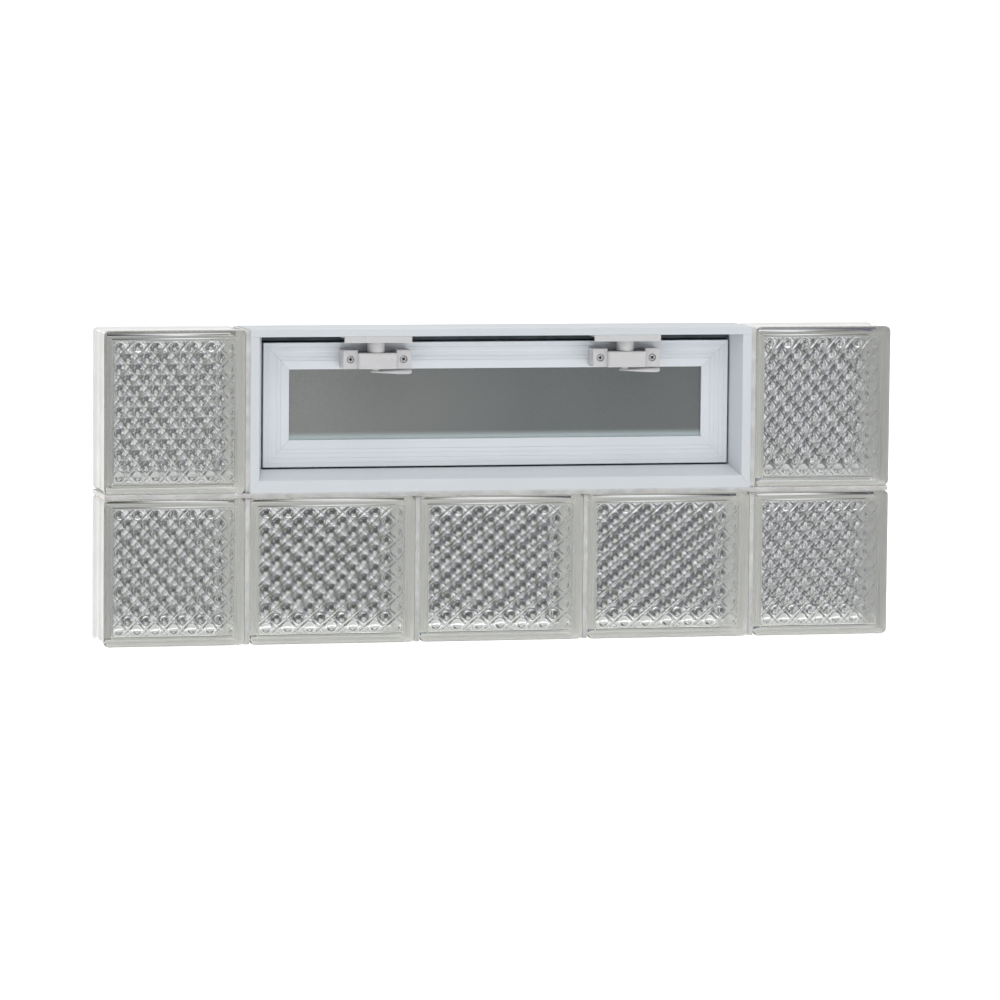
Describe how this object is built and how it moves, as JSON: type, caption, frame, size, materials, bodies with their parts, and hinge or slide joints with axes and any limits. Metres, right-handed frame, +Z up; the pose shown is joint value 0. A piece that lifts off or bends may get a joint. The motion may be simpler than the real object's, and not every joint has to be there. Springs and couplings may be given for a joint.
{
  "type": "glass block window",
  "caption": "Prefabricated panel of hollow glass blocks with a white vinyl hopper vent, closed by turn latches.",
  "frame": {"origin": "middle of the panel's base, at the middle of its width and thickness", "axes": "+X to the right as seen from the room, +Y from the room to outdoors, +Z up"},
  "size_m": [0.8826, 0.0794, 0.3429],
  "materials": {
    "block_glass": "pressed clear glass",
    "silicone": "cured translucent white silicone",
    "vinyl": "white extruded vinyl",
    "obscure_glass": "obscure pane",
    "spacer": "satin",
    "weatherstrip": "matt",
    "latch": "moulded white plastic",
    "pivot": "moulded nylon"
  },
  "bodies": {
    "window": {"bed_joint": "silicone", "frame_head": "vinyl", "frame_jamb_left": "vinyl", "frame_jamb_right": "vinyl", "frame_sill": "vinyl", "glass_block_bottom_1": "block_glass", "glass_block_bottom_2": "block_glass", "glass_block_bottom_3": "block_glass", "glass_block_bottom_4": "block_glass", "glass_block_bottom_5": "block_glass", "glass_block_top_left": "block_glass", "glass_block_top_right": "block_glass", "glazing_bead_bottom": "vinyl", "glazing_bead_left": "vinyl", "glazing_bead_right": "vinyl", "glazing_bead_top": "vinyl", "glazing_spacer": "spacer", "head_gasket": "weatherstrip", "head_joint_bottom_1": "silicone", "head_joint_bottom_2": "silicone", "head_joint_bottom_3": "silicone", "head_joint_bottom_4": "silicone", "head_joint_top_left": "silicone", "head_joint_top_right": "silicone", "inner_pane": "obscure_glass", "latch_base_left": "latch", "latch_base_right": "latch", "latch_keeper_left": "latch", "latch_keeper_right": "latch", "outer_pane": "obscure_glass", "sash_bottom_rail": "vinyl", "sash_pivot_left": "pivot", "sash_pivot_right": "pivot", "sash_stile_left": "vinyl", "sash_stile_right": "vinyl", "sash_top_rail": "vinyl", "weatherstrip": "weatherstrip"},
    "lever_left": {"latch_lever_left": "latch"},
    "lever_right": {"latch_lever_right": "latch"}
  },
  "joints": [
    {"name": "latch_left_turn", "type": "hinge", "parent": "window", "child": "lever_left", "pos_m": [-0.14, -0.02699, 0.29], "axis": [0, 0, -1], "range_deg": [0, 90]},
    {"name": "latch_right_turn", "type": "hinge", "parent": "window", "child": "lever_right", "pos_m": [0.14, -0.02699, 0.29], "axis": [0, 0, -1], "range_deg": [0, 90]}
  ]
}
